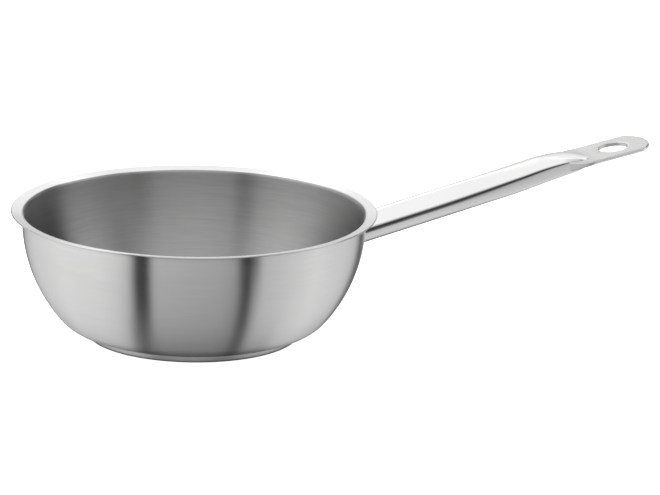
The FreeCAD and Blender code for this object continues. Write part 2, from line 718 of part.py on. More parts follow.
os.makedirs("parts", exist_ok=True)
for part in parts:
    part.Shape.exportStep(f"parts/{part.Label}.step")
    print(f"{part.Label}: {len(part.Shape.Solids)} solids, {part.Shape.Volume:.0f} mm3")
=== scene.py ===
import math
import bpy
import numpy as np
from mathutils import Matrix


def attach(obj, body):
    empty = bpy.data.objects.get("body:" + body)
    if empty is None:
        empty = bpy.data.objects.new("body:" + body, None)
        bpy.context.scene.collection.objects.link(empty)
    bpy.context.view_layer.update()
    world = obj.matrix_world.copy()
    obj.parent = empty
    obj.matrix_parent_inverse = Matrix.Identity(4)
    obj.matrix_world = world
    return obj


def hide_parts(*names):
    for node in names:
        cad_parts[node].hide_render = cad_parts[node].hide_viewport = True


# Saucier pan in stainless steel. Lengths in the shapes are millimetres, the scene is in metres.
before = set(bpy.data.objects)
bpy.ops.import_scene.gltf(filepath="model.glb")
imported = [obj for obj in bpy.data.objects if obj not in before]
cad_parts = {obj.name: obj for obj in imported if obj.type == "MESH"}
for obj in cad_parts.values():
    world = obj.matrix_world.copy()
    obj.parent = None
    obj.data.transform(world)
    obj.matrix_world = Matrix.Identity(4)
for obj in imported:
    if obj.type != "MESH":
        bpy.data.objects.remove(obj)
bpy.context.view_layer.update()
scene = bpy.context.scene
mm = 0.001
grainStep = 10.0  # millimetres along a profile for one unit of its grain
print("frame loaded,", len(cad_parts), "nodes")


# Shader sums
class Wire:
    # a socket of a node tree: sums and products on it add Math nodes
    def __init__(self, tree, socket=None):
        self.tree = tree
        self.socket = socket

    def node(self, kind, settings=None, values=None):
        # any node: its settings first, then the values or links of its sockets
        made = self.tree.nodes.new(kind)
        for name, value in (settings or {}).items():
            if name == "stops":
                ramp = made.color_ramp.elements
                while len(ramp) < len(value):
                    ramp.new(0.5)
                for stop, (place, shade) in zip(ramp, value):
                    stop.position = place
                    stop.color = (shade, shade, shade, 1)
            else:
                setattr(made, name, value)
        for name, value in (values or {}).items():
            if isinstance(value, Wire):
                self.tree.links.new(value.socket, made.inputs[name])
            else:
                made.inputs[name].default_value = value
        return Wire(self.tree, made.outputs[0])

    def out(self, name):
        # another output of the same node
        return Wire(self.tree, self.socket.node.outputs[name])

    def math(self, operation, *others):
        return self.node("ShaderNodeMath", {"operation": operation}, dict(enumerate((self, *others))))

    def swapped(self, operation, other):
        return self.node("ShaderNodeMath", {"operation": operation}, {0: other, 1: self})

    def __add__(self, other):
        return self.math("ADD", other)

    def __radd__(self, other):
        return self.swapped("ADD", other)

    def __sub__(self, other):
        return self.math("SUBTRACT", other)

    def __rsub__(self, other):
        return self.swapped("SUBTRACT", other)

    def __mul__(self, other):
        return self.math("MULTIPLY", other)

    def __rmul__(self, other):
        return self.swapped("MULTIPLY", other)

    def __truediv__(self, other):
        return self.math("DIVIDE", other)

    def __rtruediv__(self, other):
        return self.swapped("DIVIDE", other)

    def step(self, low, high):
        # 0 below low, 1 above high, smooth between
        return self.node("ShaderNodeMapRange", {"interpolation_type": "SMOOTHSTEP"},
                         {"Value": self, "From Min": low, "From Max": high})

    def band(self, rise, fall):
        # 1 between two soft edges: up over the first pair of values, down over the second
        return self.step(*rise) * (1 - self.step(*fall))


# Meshes from grids
def gridPiece(name, points, materials, node, wrapRows=False, grain=None, caps=False, split=()):
    # points: rows x columns x 3 in millimetres; columns always close into a ring, rows close if asked.
    # caps: the first and last row are single points, each a pole with a fan of triangles.
    # split: the rows from which the next material is used
    rows, columns = points.shape[:2]
    places = points.reshape(-1, 3) * mm
    row = np.arange(rows if wrapRows else rows - 1)[:, None]
    column = np.arange(columns)[None, :]
    nextRow = (row + 1) % rows
    nextColumn = (column + 1) % columns
    quads = np.stack([row * columns + column, row * columns + nextColumn,
                      nextRow * columns + nextColumn, nextRow * columns + column], -1).reshape(-1, 4)
    if caps:  # rows 0 and -1 shrink to a pole: keep one vertex of each
        last = (rows - 1) * columns
        quads = np.where(quads < columns, 0, np.where(quads >= last, last, quads))
        kept = np.r_[0, np.arange(columns, last + 1)]
        renumber = np.zeros(rows * columns, int)
        renumber[kept] = np.arange(len(kept))
        places = places[kept]
        quads = renumber[quads]
        grain = None if grain is None else grain.reshape(-1, 3)[kept]
    faces = [list(dict.fromkeys(face)) for face in quads.tolist()]
    mesh = bpy.data.meshes.new(name)
    mesh.from_pydata(places, [], faces)
    mesh.polygons.foreach_set("use_smooth", np.ones(len(faces), bool))
    if grain is not None:
        attribute = mesh.attributes.new("grain", "FLOAT_VECTOR", "POINT")
        attribute.data.foreach_set("vector", np.ascontiguousarray(grain, np.float32).reshape(-1))
    for material in materials:
        mesh.materials.append(material)
    band = np.searchsorted(split, np.arange(len(faces)) // columns, side="right")
    mesh.polygons.foreach_set("material_index", band.astype(np.int32))
    mesh.validate()
    mesh.update()
    piece = bpy.data.objects.new(name, mesh)
    scene.collection.objects.link(piece)
    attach(piece, "root")
    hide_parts(node)
    print(name, len(faces), "faces")


def arc(centre, radius, first, last, count):
    # points of a circle's arc between two angles in degrees
    turn = np.radians(np.linspace(first, last, count))
    return np.stack([centre[0] + radius * np.cos(turn), centre[1] + radius * np.sin(turn)], -1)


def spun(profile, columns):
    # a profile of (radius, height) carried once round the pan's axis: x = r cos a, y = r sin a
    turn = np.linspace(0, 2 * math.pi, columns, endpoint=False)
    radius, height = profile[:, :1], profile[:, 1:]
    points = np.stack([radius * np.cos(turn), radius * np.sin(turn), height + 0 * turn], -1)
    # grain: slow round the pan, quick along the profile, so that brushing runs round it
    along = np.r_[0, np.cumsum(np.linalg.norm(np.diff(profile, axis=0), axis=1))][:, None]
    grain = np.stack([np.cos(turn) + 0 * along, np.sin(turn) + 0 * along, along / grainStep + 0 * turn], -1)
    return points, grain


# Finishes
def newFinish(name, look):
    # bare metal in the look's colour; what varies over it is fed in afterwards
    material = bpy.data.materials.new(name)
    material.use_nodes = True
    tree = material.node_tree
    shader = tree.nodes["Principled BSDF"]
    shader.inputs["Base Color"].default_value = (*look["colour"], 1)
    shader.inputs["Metallic"].default_value = 1
    shader.inputs["Roughness"].default_value = look["roughness"]
    shader.inputs["Anisotropic"].default_value = look.get("anisotropic", 0.0)
    shader.inputs["Anisotropic Rotation"].default_value = look.get("turn", 0.0)
    return material, Wire(tree), shader


def feed(wire, shader, name):
    wire.tree.links.new(wire.socket, shader.inputs[name])


def tinted(look, share):
    # the look's colour made lighter by a share, or darker where the share is negative
    return (*(min(1, c * (1 + share)) for c in look["colour"]), 1)


def mixColour(base, mask, dark, light):
    made = base.node("ShaderNodeMix", {"data_type": "RGBA"}, {0: mask, 6: dark, 7: light})
    return Wire(base.tree, made.socket.node.outputs[2])


def bump(base, height, look):
    return base.node("ShaderNodeBump", {}, {"Strength": look["relief"], "Distance": look["depth"],
                                            "Height": height})


def noise(base, vector, scale=1.0, detail=3.0, roughness=0.5):
    return base.node("ShaderNodeTexNoise", {}, {"Vector": vector, "Scale": scale, "Detail": detail,
                                                "Roughness": roughness})


brushedLook = {"colour": (0.62, 0.62, 0.615), "shade": 0.02, "roughness": 0.24, "uneven": 0.008,
               "anisotropic": 1.0, "turn": 0.25, "lineRound": 6.0, "lines": 60.0, "streakRound": 4.0,
               "streaks": 12.0, "broad": 2.2, "weights": (0.35, 0.45, 0.2), "spread": (0.35, 0.65),
               "relief": 0.25, "depth": 0.00001}


def brushedSteel(name, look):
    # brushing that follows the piece's own grain: fine lines, streaks and broad unevenness, mixed by weights
    material, base, shader = newFinish(name, look)
    grain = base.node("ShaderNodeAttribute", {"attribute_name": "grain"}).out("Vector")

    def stretched(slow, quick):
        stretch = (slow, slow, quick)
        return base.node("ShaderNodeVectorMath", {"operation": "MULTIPLY"}, {0: grain, 1: stretch})

    lines = noise(base, stretched(look["lineRound"], look["lines"]), detail=4.0, roughness=0.65)
    streaks = noise(base, stretched(look["streakRound"], look["streaks"]), detail=3.0, roughness=0.6)
    broad = noise(base, grain, scale=look["broad"], detail=2.0)
    fine, middle, wide = look["weights"]
    mask = (lines * fine + streaks * middle + broad * wide).step(*look["spread"])
    tone = mixColour(base, mask, tinted(look, -look["shade"]), tinted(look, look["shade"]))
    feed(tone, shader, "Base Color")
    feed(look["roughness"] + (mask - 0.5) * look["uneven"] * 2, shader, "Roughness")
    feed(bump(base, lines, look), shader, "Normal")
    return material


rolledLook = {"colour": (0.75, 0.75, 0.76), "shade": 0.1, "roughness": 0.42, "uneven": 0.12,
              "stretch": (30, 1500, 30), "mottle": 60.0, "spread": (0.35, 0.65), "relief": 0.2,
              "depth": 0.00002}


def rolledMetal(name, look):
    # rolled sheet: faint lines one way and a mottled tone, read from the object's own place
    material, base, shader = newFinish(name, look)
    place = base.node("ShaderNodeTexCoord").out("Object")
    stretched = base.node("ShaderNodeMapping", {}, {"Vector": place, "Scale": look["stretch"]})
    lines = noise(base, stretched)
    mottle = noise(base, place, scale=look["mottle"], detail=4.0)
    tone = mixColour(base, mottle.step(*look["spread"]), tinted(look, -look["shade"]), tinted(look, 0))
    feed(tone, shader, "Base Color")
    feed(look["roughness"] + (mottle - 0.5) * look["uneven"], shader, "Roughness")
    feed(bump(base, lines, look), shader, "Normal")
    return material


# Bowl. The last entry of its shape gives rows from the lip's edge where the finishes of rim, lip and inside
# begin. Rim and inside are darker copies of the outside's steel (painted shade), and the lip's top is a
# lighter copy (a painted highlight).
bowlShape = {"rimRadius": 100.0, "sheet": 1.0, "height": 75.0, "neck": 5.0, "wallArc": 89.0,
             "cornerArc": 22.0, "lipReach": 6.5, "lipBend": 1.0, "lipFlare": 10.0, "floor": 4.5,
             "columns": 288, "finishAndPaintedLightRows": (-2, 4, 12)}


def wallArcs(shape):
    # centres of the wall's and the corner's arc, and the angle in degrees where they meet
    outer = shape["rimRadius"] + shape["sheet"]
    wall = (outer - shape["wallArc"], shape["height"] - shape["neck"])
    rise = shape["floor"] + shape["cornerArc"]
    reach = math.sqrt((shape["wallArc"] - shape["cornerArc"]) ** 2 - (wall[1] - rise) ** 2)
    corner = (wall[0] + reach, rise)
    return wall, corner, math.degrees(math.atan2(corner[1] - wall[1], corner[0] - wall[0]))


def bowlProfile(shape):
    # from the middle of the underside out, up the wall, round the lip and down the inside to the middle
    wall, corner, meet = wallArcs(shape)
    sheet, bend, flare = shape["sheet"], shape["lipBend"], shape["lipFlare"]
    outer = shape["rimRadius"] + sheet
    edge = np.array([outer + shape["lipReach"] - sheet / 2, shape["height"] - sheet / 2])
    slope = math.radians(flare)
    across = np.array([-math.sin(slope), math.cos(slope)])
    hub = np.array([outer + bend, edge[1] - (edge[0] - outer - bend) * math.tan(slope)
                    - (bend + sheet / 2) / math.cos(slope)])
    floorRadii = np.linspace(0, corner[0], 14)[:-1, None]
    under = np.hstack([floorRadii, 0 * floorRadii + shape["floor"]])
    inside = np.hstack([floorRadii[::-1], 0 * floorRadii + shape["floor"] + sheet])
    return np.vstack([
        under,
        arc(corner, shape["cornerArc"], -90, meet, 16)[:-1],
        arc(wall, shape["wallArc"], meet, 0, 36),
        arc(hub, bend, 180, 90 + flare, 7),
        np.linspace(hub + bend * across, edge - sheet / 2 * across, 6)[1:-1],
        arc(edge, sheet / 2, flare - 90, flare + 90, 9),
        np.linspace(edge + sheet / 2 * across, hub + (bend + sheet) * across, 6)[1:-1],
        arc(hub, bend + sheet, 90 + flare, 180, 9),
        arc(wall, shape["wallArc"] - sheet, 0, meet, 36),
        arc(corner, shape["cornerArc"] - sheet, meet, -90, 16)[1:],
        inside,
    ])


# the lip's rounded edge: the outside's brushed steel made darker (painted shade) and a little rougher
rimPaintedShadeLook = dict(brushedLook, colour=(0.50, 0.50, 0.495), roughness=0.3)
# the lip's top: the outside's brushed steel made lighter (a painted highlight) and a little smoother
lipPaintedHighlightLook = dict(brushedLook, colour=(0.73, 0.73, 0.725), roughness=0.22)
# the inside: the outside's brushed steel made much darker (painted shade), rougher and more streaked
insidePaintedShadeLook = dict(brushedLook, colour=(0.385, 0.385, 0.382), roughness=0.38, uneven=0.02, shade=0.08)
bowlFinishesAndPaintedLight = [brushedSteel("bowlOutside", brushedLook), brushedSteel("bowlRimPaintedShade", rimPaintedShadeLook),
                brushedSteel("bowlLipPaintedHighlight", lipPaintedHighlightLook), brushedSteel("bowlInsidePaintedShade", insidePaintedShadeLook)]
profile = bowlProfile(bowlShape)
lipEdge = int(np.argmax(profile[:, 0]))
points, grain = spun(profile, bowlShape["columns"])
gridPiece("bowlShell", points, bowlFinishesAndPaintedLight, "bowl", grain=grain, caps=True,
          split=[lipEdge + row for row in bowlShape["finishAndPaintedLightRows"]])


# Base
capShape = {"radius": 62.6, "sheet": 0.6, "corner": 0.65, "rimRound": 0.3, "innerRound": 0.1, "top": 4.5,
            "columns": 240}
# the cap's steel is made darker than the bowl's (painted shade where the pan meets the floor); its turned
# finish is rougher and not brushed
capPaintedShadeLook = dict(brushedLook, colour=(0.44, 0.44, 0.435), roughness=0.42, anisotropic=0.0, lines=90.0)


def capProfile(shape):
    # a shallow cup: flat underside, rounded corner, side, rounded rim, and back down inside
    radius, sheet, corner, top = shape["radius"], shape["sheet"], shape["corner"], shape["top"]
    rim, inner = shape["rimRound"], shape["innerRound"]
    flat = radius - corner
    steps = np.linspace(0, flat, 24)[:-1, None]
    return np.vstack([
        np.hstack([steps, 0 * steps]),
        arc((flat, corner), corner, -90, 0, 9),
        arc((radius - rim, top - rim), rim, 0, 90, 5),
        arc((radius - sheet + inner, top - inner), inner, 90, 180, 3),
        arc((flat, corner), corner - sheet, 0, -90, 6),
        np.hstack([steps[::-1], 0 * steps + sheet]),
    ])


points, grain = spun(capProfile(capShape), capShape["columns"])
gridPiece("baseCap", points, [brushedSteel("capTurnedPaintedShade", capPaintedShadeLook)], "base_cap", grain=grain,
          caps=True)

# the closed-in heat spreader and its filler layers keep their solids
coreFinish = rolledMetal("coreRolled", rolledLook)
brazeFinish = rolledMetal("brazeFilm", dict(rolledLook, colour=(0.70, 0.69, 0.67), roughness=0.5))
for node, finish in (("base_core", coreFinish), ("base_braze_upper", brazeFinish),
                     ("base_braze_lower", brazeFinish)):
    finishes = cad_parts[node].data.materials
    finishes.clear()
    finishes.append(finish)
print("heat spreader and filler layers finished")


# Handle tube. Places along it are counted from where its axis leaves the wall
handleShape = {"rootRadius": 101.0, "rootHeight": 53.5, "rootSearch": (-12.0, 18.0), "rootEase": 24.0,
               "rootSink": 0.3, "bracketSheet": 1.2, "tilt": 12.5, "width": 22.0, "grip": 117.0,
               "press": 42.0, "straight": (30.0, 112.0), "pressed": 114.0, "noseStart": 147.0,
               "noseEnd": 160.0, "noseShare": 0.98, "blunt": 3.0}
# the tube's upper and lower half at places along it: height, height of the upright flank, corner's radius
handlePlaces = (45, 80, 108, 130, 141, 149, 160)
handleUpper = {"rise": (8.8, 8.6, 8.0, 7.6, 6.0, 4.2, 0.4), "flank": (0.05, 0.66, 1.85, 2.8, 2.6, 1.6, 0.1),
               "corner": (7, 6.6, 5.4, 4.2, 3.0, 2.2, 0.3)}
handleLower = {"rise": (8.5, 8.3, 7.6, 5.7, 5.0, 4.3, 0.4), "flank": (0.05, 0.5, 1.2, 1.6, 2.0, 2.0, 0.1),
               "corner": (7, 6.6, 5.6, 3.6, 2.6, 2.0, 0.3)}
cornerLimit = {"depth": 0.9, "width": 0.8}  # the most of a half's depth and width that a corner may take
polishLook = {"colour": (0.72, 0.72, 0.715), "shade": 0.03, "roughness": 0.08, "uneven": 0.03, "hair": 0.03,
              "stretch": (14, 900, 900), "smear": 30.0, "smearRough": (0.45, 0.75), "smearTone": (0.3, 0.7),
              "relief": 0.08, "depth": 0.00001}


def polishedSteel(name, look):
    # polished along the handle: hair lines, faint smears
    material, base, shader = newFinish(name, look)
    place = base.node("ShaderNodeTexCoord").out("Object")
    tilt = (0, math.radians(handleShape["tilt"]), 0)
    turned = base.node("ShaderNodeMapping", {"vector_type": "POINT"},
                       {"Vector": place, "Rotation": tilt, "Scale": look["stretch"]})
    lines = noise(base, turned)
    smear = noise(base, place, scale=look["smear"])
    worn = smear.step(*look["smearRough"]) * look["uneven"]
    feed(look["roughness"] + worn + (lines - 0.5) * look["hair"], shader, "Roughness")
    tone = mixColour(base, smear.step(*look["smearTone"]), tinted(look, -look["shade"]), tinted(look, 0))
    feed(tone, shader, "Base Color")
    feed(bump(base, lines, look), shader, "Normal")
    return material


def handleAxes(tilt):
    # along the tube, to its left and up from it, as unit vectors
    turn = math.radians(tilt)
    return (np.array([math.cos(turn), 0, math.sin(turn)]), np.array([0, 1, 0]),
            np.array([-math.sin(turn), 0, math.cos(turn)]))


def handleRoot(shape):
    return np.array([shape["rootRadius"], 0, shape["rootHeight"]])


def onTube(shape, along, across, rise):
    # the point a way along the tube's axis, to the left of it and above it
    axis, left, up = handleAxes(shape["tilt"])
    return handleRoot(shape) + along[..., None] * axis + across[..., None] * left + rise[..., None] * up


def halfOval(halfWidth, halfDepth, side, counts):
    # three tangent arcs for each section's upper half: sides of one radius, a crown of the radius that joins
    # them; the arcs' centres lie on the oval's two axes. Sections run down the rows
    halfWidth, halfDepth, side = (np.asarray(v, float)[:, None] for v in (halfWidth, halfDepth, side))
    reach = halfWidth - side
    crown = (reach ** 2 + halfDepth ** 2 - side ** 2) / (2 * (halfDepth - side))
    fall = crown - halfDepth
    meet = np.arctan2(fall, reach)
    sideShare, crownShare = (np.linspace(0, 1, count)[None, :] for count in counts)
    first, middle = meet * sideShare[:, :-1], meet + (math.pi - 2 * meet) * crownShare[:, :-1]
    last = math.pi - meet + meet * sideShare
    across = np.hstack([reach + side * np.cos(first), crown * np.cos(middle), side * np.cos(last) - reach])
    rise = np.hstack([side * np.sin(first), crown * np.sin(middle) - fall, side * np.sin(last)])
    return across, rise


def smoothThrough(places, values, stations):
    # a smooth curve through a few given values, by cubics that share their slopes
    places, values = np.array(places, float), np.array(values, float)
    slopes = np.gradient(values, places)
    slopes[0] = 0
    stations = np.clip(stations, places[0], places[-1])
    index = np.clip(np.searchsorted(places, stations) - 1, 0, len(places) - 2)
    span = places[index + 1] - places[index]
    share = (stations - places[index]) / span
    gain = 3 * share ** 2 - 2 * share ** 3
    bend = slopes[index] * share * (1 - share) ** 2 - slopes[index + 1] * share ** 2 * (1 - share)
    return values[index] * (1 - gain) + values[index + 1] * gain + span * bend


def tubeSections(halfWidth, stations, counts, grow=0.0):
    # an upper and a lower half oval with upright flanks between them; grow moves the whole section outwards
    halves = []
    for half in (handleUpper, handleLower):
        rise, flank, corner = (smoothThrough(handlePlaces, half[name], stations)
                               for name in ("rise", "flank", "corner"))
        rest = rise - flank + grow
        most = np.minimum(cornerLimit["depth"] * rest, cornerLimit["width"] * (halfWidth + grow))
        across, height = halfOval(halfWidth + grow, rest, np.minimum(corner + grow, most), counts)
        halves.append((across, height + flank[:, None]))
    (upAcross, upRise), (lowAcross, lowRise) = halves
    return np.hstack([upAcross, -lowAcross]), np.hstack([upRise, -lowRise])


def rootStart(shape, across, rise, lift):
    # how far along the tube each of its lines leaves a surface that lies a lift outside the bowl's wall,
    # found by halving the span in which it lies
    wall = wallArcs(bowlShape)[0]
    low, high = (np.full(across.shape, end) for end in shape["rootSearch"])
    for _ in range(40):
        middle = (low + high) / 2
        place = onTube(shape, middle, across, rise)
        radius = np.hypot(place[..., 0], place[..., 1])
        away = np.hypot(radius - wall[0], np.minimum(place[..., 2] - wall[1], 0))
        outside = away > bowlShape["wallArc"] + lift
        low, high = np.where(outside, low, middle), np.where(outside, middle, high)
    return (low + high) / 2


def gripGrid(shape):
    # the tube's outside: an oval, then pressed lower and squarer towards a nose that is blunt from above
    ease, noseStart = shape["rootEase"], shape["noseStart"]
    nose = shape["noseEnd"] - noseStart
    sweep = np.linspace(0, math.pi / 2 * shape["noseShare"], 26)[1:]
    stations = np.r_[np.linspace(0, ease, 13), np.linspace(*shape["straight"], 30),
                     np.linspace(shape["pressed"], noseStart, 30), noseStart + nose * np.sin(sweep)]
    rounding = np.clip((stations - noseStart) / nose, 0, 1)
    halfWidth = shape["width"] / 2 * np.sqrt(1 - rounding ** shape["blunt"])
    across, rise = tubeSections(halfWidth, stations, (9, 30))
    start = rootStart(shape, across[:1], rise[:1], shape["bracketSheet"] - shape["rootSink"])
    along = stations[:, None] + start * np.clip(1 - stations[:, None] / ease, 0, 1)
    return onTube(shape, along, across, rise)


def withEnds(points):
    # a point in the middle of the first and of the last ring closes the tube
    first, last = (np.repeat(ring.mean(1, keepdims=True), points.shape[1], 1)
                   for ring in (points[:1], points[-1:]))
    return np.concatenate([first, points, last])


gripFinish = polishedSteel("gripPolished", polishLook)
gridPiece("handleGrip", withEnds(gripGrid(handleShape)), [gripFinish], "handle_tube",
          caps=True)


# Handle tongue. The last entry of its shape gives rings from the hole out where the finishes of edge,
# underside and hole begin. Edge and hole wall take lighter copies of the tongue's steel: a painted highlight
# on the edge, painted light in the hole.
tongueShape = {"length": 40.0, "width": 32.6, "plate": 1.25, "wedge": 1.9, "wedgePower": 1.5, "dip": 2.5,
               "flangeWidth": 18.0, "flangeStart": 139.0, "flangeFull": 157.0, "tipArc": 20.0,
               "tipCorner": 5.0, "hole": 9.0, "holeSetback": 22.5, "edge": 0.95, "holeEdge": 0.35,
               "finishAndPaintedLightRings": (10, 17, 23)}


def tongueOutline(shape):
    # seen from above, as (along, across) from the end of the press: a flange that widens out of the tube,
    # a straight side, corner, tip, corner, the other side, and across inside the tube
    half, end = shape["width"] / 2, shape["length"]
    tip, corner = shape["tipArc"], shape["tipCorner"]
    cornerAcross = half - corner
    cornerAlong = end - tip + math.sqrt((tip - corner) ** 2 - cornerAcross ** 2)
    turn = math.degrees(math.atan2(cornerAcross, cornerAlong - (end - tip)))
    pressEnd = handleShape["grip"] + handleShape["press"]
    first, full = shape["flangeStart"] - pressEnd, shape["flangeFull"] - pressEnd
    share = np.linspace(1, 0, 24)
    flange = np.stack([np.linspace(first, full, len(share)),
                       half - (half - shape["flangeWidth"] / 2) * share ** 2], -1)
    straight = np.linspace(full, cornerAlong, 20)[1:-1]
    leftSide = np.vstack([flange, np.stack([straight, np.full(len(straight), half)], -1)])
    tipCurve = np.vstack([arc((cornerAlong, -cornerAcross), corner, -90, -turn, 12)[:-1],
                          arc((end - tip, 0), tip, -turn, turn, 30),
                          arc((cornerAlong, cornerAcross), corner, turn, 90, 12)[1:]])
    closing = np.linspace(flange[0, 1], -flange[0, 1], 11)[1:-1]
    behind = np.stack([np.full(len(closing), first), closing], -1)
    return np.vstack([leftSide * (1, -1), tipCurve, leftSide[::-1], behind])


def inward(outline, inset):
    # the outline moved in along its own normal, for a rounded edge
    ahead = np.roll(outline, -1, 0) - np.roll(outline, 1, 0)
    normal = np.stack([-ahead[:, 1], ahead[:, 0]], -1) / np.linalg.norm(ahead, axis=1, keepdims=True)
    return outline + normal * inset


def tongueGrid(shape):
    # a plate round the hole: rings from the hole's edge out over the top, round the outer edge,
    # back in underneath and up the hole's wall; each ring point lies between hole and outline
    outline = tongueOutline(shape)
    hole = np.array([shape["length"] - shape["holeSetback"], 0])
    bearing = outline - hole
    bearing = bearing / np.linalg.norm(bearing, axis=1, keepdims=True)
    edge, lip = shape["edge"], shape["holeEdge"]
    outer, inner = inward(outline, edge), hole + bearing * (shape["hole"] + lip)
    shares = np.linspace(0, 1, 7)
    rings = [((1 - share) * inner + share * outer, edge, 1) for share in shares]
    rings += [(inward(outline, edge * (1 - math.cos(turn))), edge, math.sin(turn))
              for turn in np.radians(np.linspace(90, -90, 12))[1:]]
    rings += [((1 - share) * inner + share * outer, edge, -1) for share in shares[-2::-1]]
    rings += [(hole + bearing * (shape["hole"] + lip * (1 - math.cos(turn))), lip, math.sin(turn))
              for turn in np.radians(np.linspace(-90, 90, 10))[1:-1]]
    plan = np.stack([ring for ring, _, _ in rings])
    rounding = np.array([[radius, sine] for _, radius, sine in rings])[:, :, None, None]
    # the plate thickens in a wedge towards the tube
    span = shape["flangeFull"] - shape["flangeStart"]
    wedge = np.clip(-plan[..., :1] / span, 0, 1) ** shape["wedgePower"]
    flat = shape["plate"] + shape["wedge"] * wedge - rounding[:, 0]
    level = flat * np.sign(rounding[:, 1]) + rounding[:, 0] * rounding[:, 1]
    tilt = handleShape["tilt"]
    flatAxis, left, flatUp = handleAxes(tilt - shape["dip"])
    start = handleRoot(handleShape) + (handleShape["grip"] + handleShape["press"]) * handleAxes(tilt)[0]
    return start + plan[..., :1] * flatAxis + plan[..., 1:] * left + level * flatUp


tongueLook = dict(polishLook, colour=(0.46, 0.46, 0.455), roughness=0.22, uneven=0.06, depth=0.00002)
# the tongue's outer edge: a much lighter copy of its steel (a painted highlight) and rougher
edgePaintedHighlightLook = dict(polishLook, colour=(0.84, 0.84, 0.835), roughness=0.3)
# the hole's wall: a lighter copy of the tongue's steel (painted light) and much rougher
holePaintedLightLook = dict(polishLook, colour=(0.62, 0.62, 0.615), roughness=0.4)
tongueFinish = polishedSteel("tongueSatin", tongueLook)
tongueFinishesAndPaintedLight = [tongueFinish, polishedSteel("tongueEdgePaintedHighlight", edgePaintedHighlightLook), tongueFinish,
                  polishedSteel("tongueHolePaintedLight", holePaintedLightLook)]
gridPiece("handleTongue", tongueGrid(tongueShape), tongueFinishesAndPaintedLight, "handle_tube",
          wrapRows=True, split=tongueShape["finishAndPaintedLightRings"])


# Bracket
bracketShape = {"sheet": handleShape["bracketSheet"], "width": 48.0, "rise": 12.5, "drop": 14.5,
                "corner": 7.0, "edge": 0.5, "middleDrop": 1.0, "startShare": 0.3, "columns": 160}
bracketLook = dict(polishLook, colour=(0.60, 0.60, 0.595), roughness=0.28, uneven=0.08, depth=0.00002)


def onWall(across, height, lift):
    # the point at a height and a way across that lies a lift outside the bowl's curved wall
    wall = wallArcs(bowlShape)[0]
    radius = wall[0] + np.sqrt((bowlShape["wallArc"] + lift) ** 2 - (wall[1] - height) ** 2)
    return np.stack([np.sqrt(radius ** 2 - across ** 2), across, height], -1)


def bracketOutline(shape, inset):
    # a rounded rectangle round the tube's root, as (across, height), moved in by an inset and
    # read at even steps along its length
    corner = shape["corner"] - inset
    out = shape["width"] / 2 - inset - corner
    top = handleShape["rootHeight"] + shape["rise"] - inset - corner
    bottom = handleShape["rootHeight"] - shape["drop"] + inset + corner
    corners = ((out, top, 90), (out, bottom, 0), (-out, bottom, -90), (-out, top, 180))
    loop = np.vstack([arc((across, height), corner, turn, turn - 90, 10) for across, height, turn in corners])
    closed = np.vstack([loop, loop[:1]])
    place = np.r_[0, np.cumsum(np.linalg.norm(np.diff(closed, axis=0), axis=1))]
    wanted = np.linspace(0, place[-1], shape["columns"], endpoint=False)
    return np.stack([np.interp(wanted, place, closed[:, 0]), np.interp(wanted, place, closed[:, 1])], -1)


def bracketGrid(shape):
    # rings from under the tube out to the rounded edge and back along the wall
    edge, sheet = shape["edge"], shape["sheet"]
    middle = np.array([0, handleShape["rootHeight"] - shape["middleDrop"]])
    outer = bracketOutline(shape, edge)
    rings = [(middle + (outer - middle) * share, sheet) for share in np.linspace(shape["startShare"], 1, 8)]
    rings += [(bracketOutline(shape, edge * (1 - math.cos(turn))), sheet - edge + edge * math.sin(turn))
              for turn in np.radians(np.linspace(90, 0, 6))[1:]]
    rings += [(bracketOutline(shape, 0), 0.0), (middle + (outer - middle) * shape["startShare"], 0.0)]
    return np.stack([onWall(ring[:, 0], ring[:, 1], lift) for ring, lift in rings])[:, ::-1]


gridPiece("handleBracket", bracketGrid(bracketShape), [polishedSteel("bracketSatin", bracketLook)],
          "handle_bracket", wrapRows=True)


# Spot welds
spotShape = {"radius": 2.6, "margin": 6.5, "lift": 0.22, "middle": 0.35, "ring": 1.3, "fall": 1.75,
             "sink": 0.3, "columns": 40}
weldFinish = rolledMetal("weldCleaned", dict(rolledLook, colour=(0.50, 0.495, 0.48), roughness=0.4))


def spotGrid(shape, across, height):
    # a shallow lens on the bracket's face with a dished middle and a sunk rim; at a share s of its radius
    # it stands middle + ring s^2 - fall s^6 of its lift
    turn = np.linspace(0, 2 * math.pi, shape["columns"], endpoint=False)
    share = np.linspace(0, 1, 14)[:, None]
    lift = shape["lift"] * (shape["middle"] + shape["ring"] * share ** 2 - shape["fall"] * share ** 6)
    radius = shape["radius"] * share
    face = onWall(across + radius * np.cos(turn), height + radius * np.sin(turn),
                  bracketShape["sheet"] + lift + 0 * turn)
    base = onWall(across + 0 * turn, height + 0 * turn, shape["sink"] + 0 * turn)[None]
    return np.concatenate([face, base])


spotSide = bracketShape["width"] / 2 - spotShape["margin"]
spotHeights = (handleShape["rootHeight"] + bracketShape["rise"] - spotShape["margin"],
               handleShape["rootHeight"] - bracketShape["drop"] + spotShape["margin"])
spotPlaces = [(side, height) for side in (-spotSide, spotSide) for height in spotHeights]
for number, (side, height) in enumerate(spotPlaces):
    gridPiece(f"spotWeld{number}", spotGrid(spotShape, side, height), [weldFinish],
              "bracket_spot_welds", caps=True)


# Root weld. toe and crown: how full the bead is at its edges and between them
beadShape = {"leg": 1.8, "ripples": 46, "ripple": 0.10, "rippleLevel": 0.6, "toe": 0.97, "crown": 0.86,
             "sink": 0.25, "sweep": (-6, 96), "counts": (36, 130)}


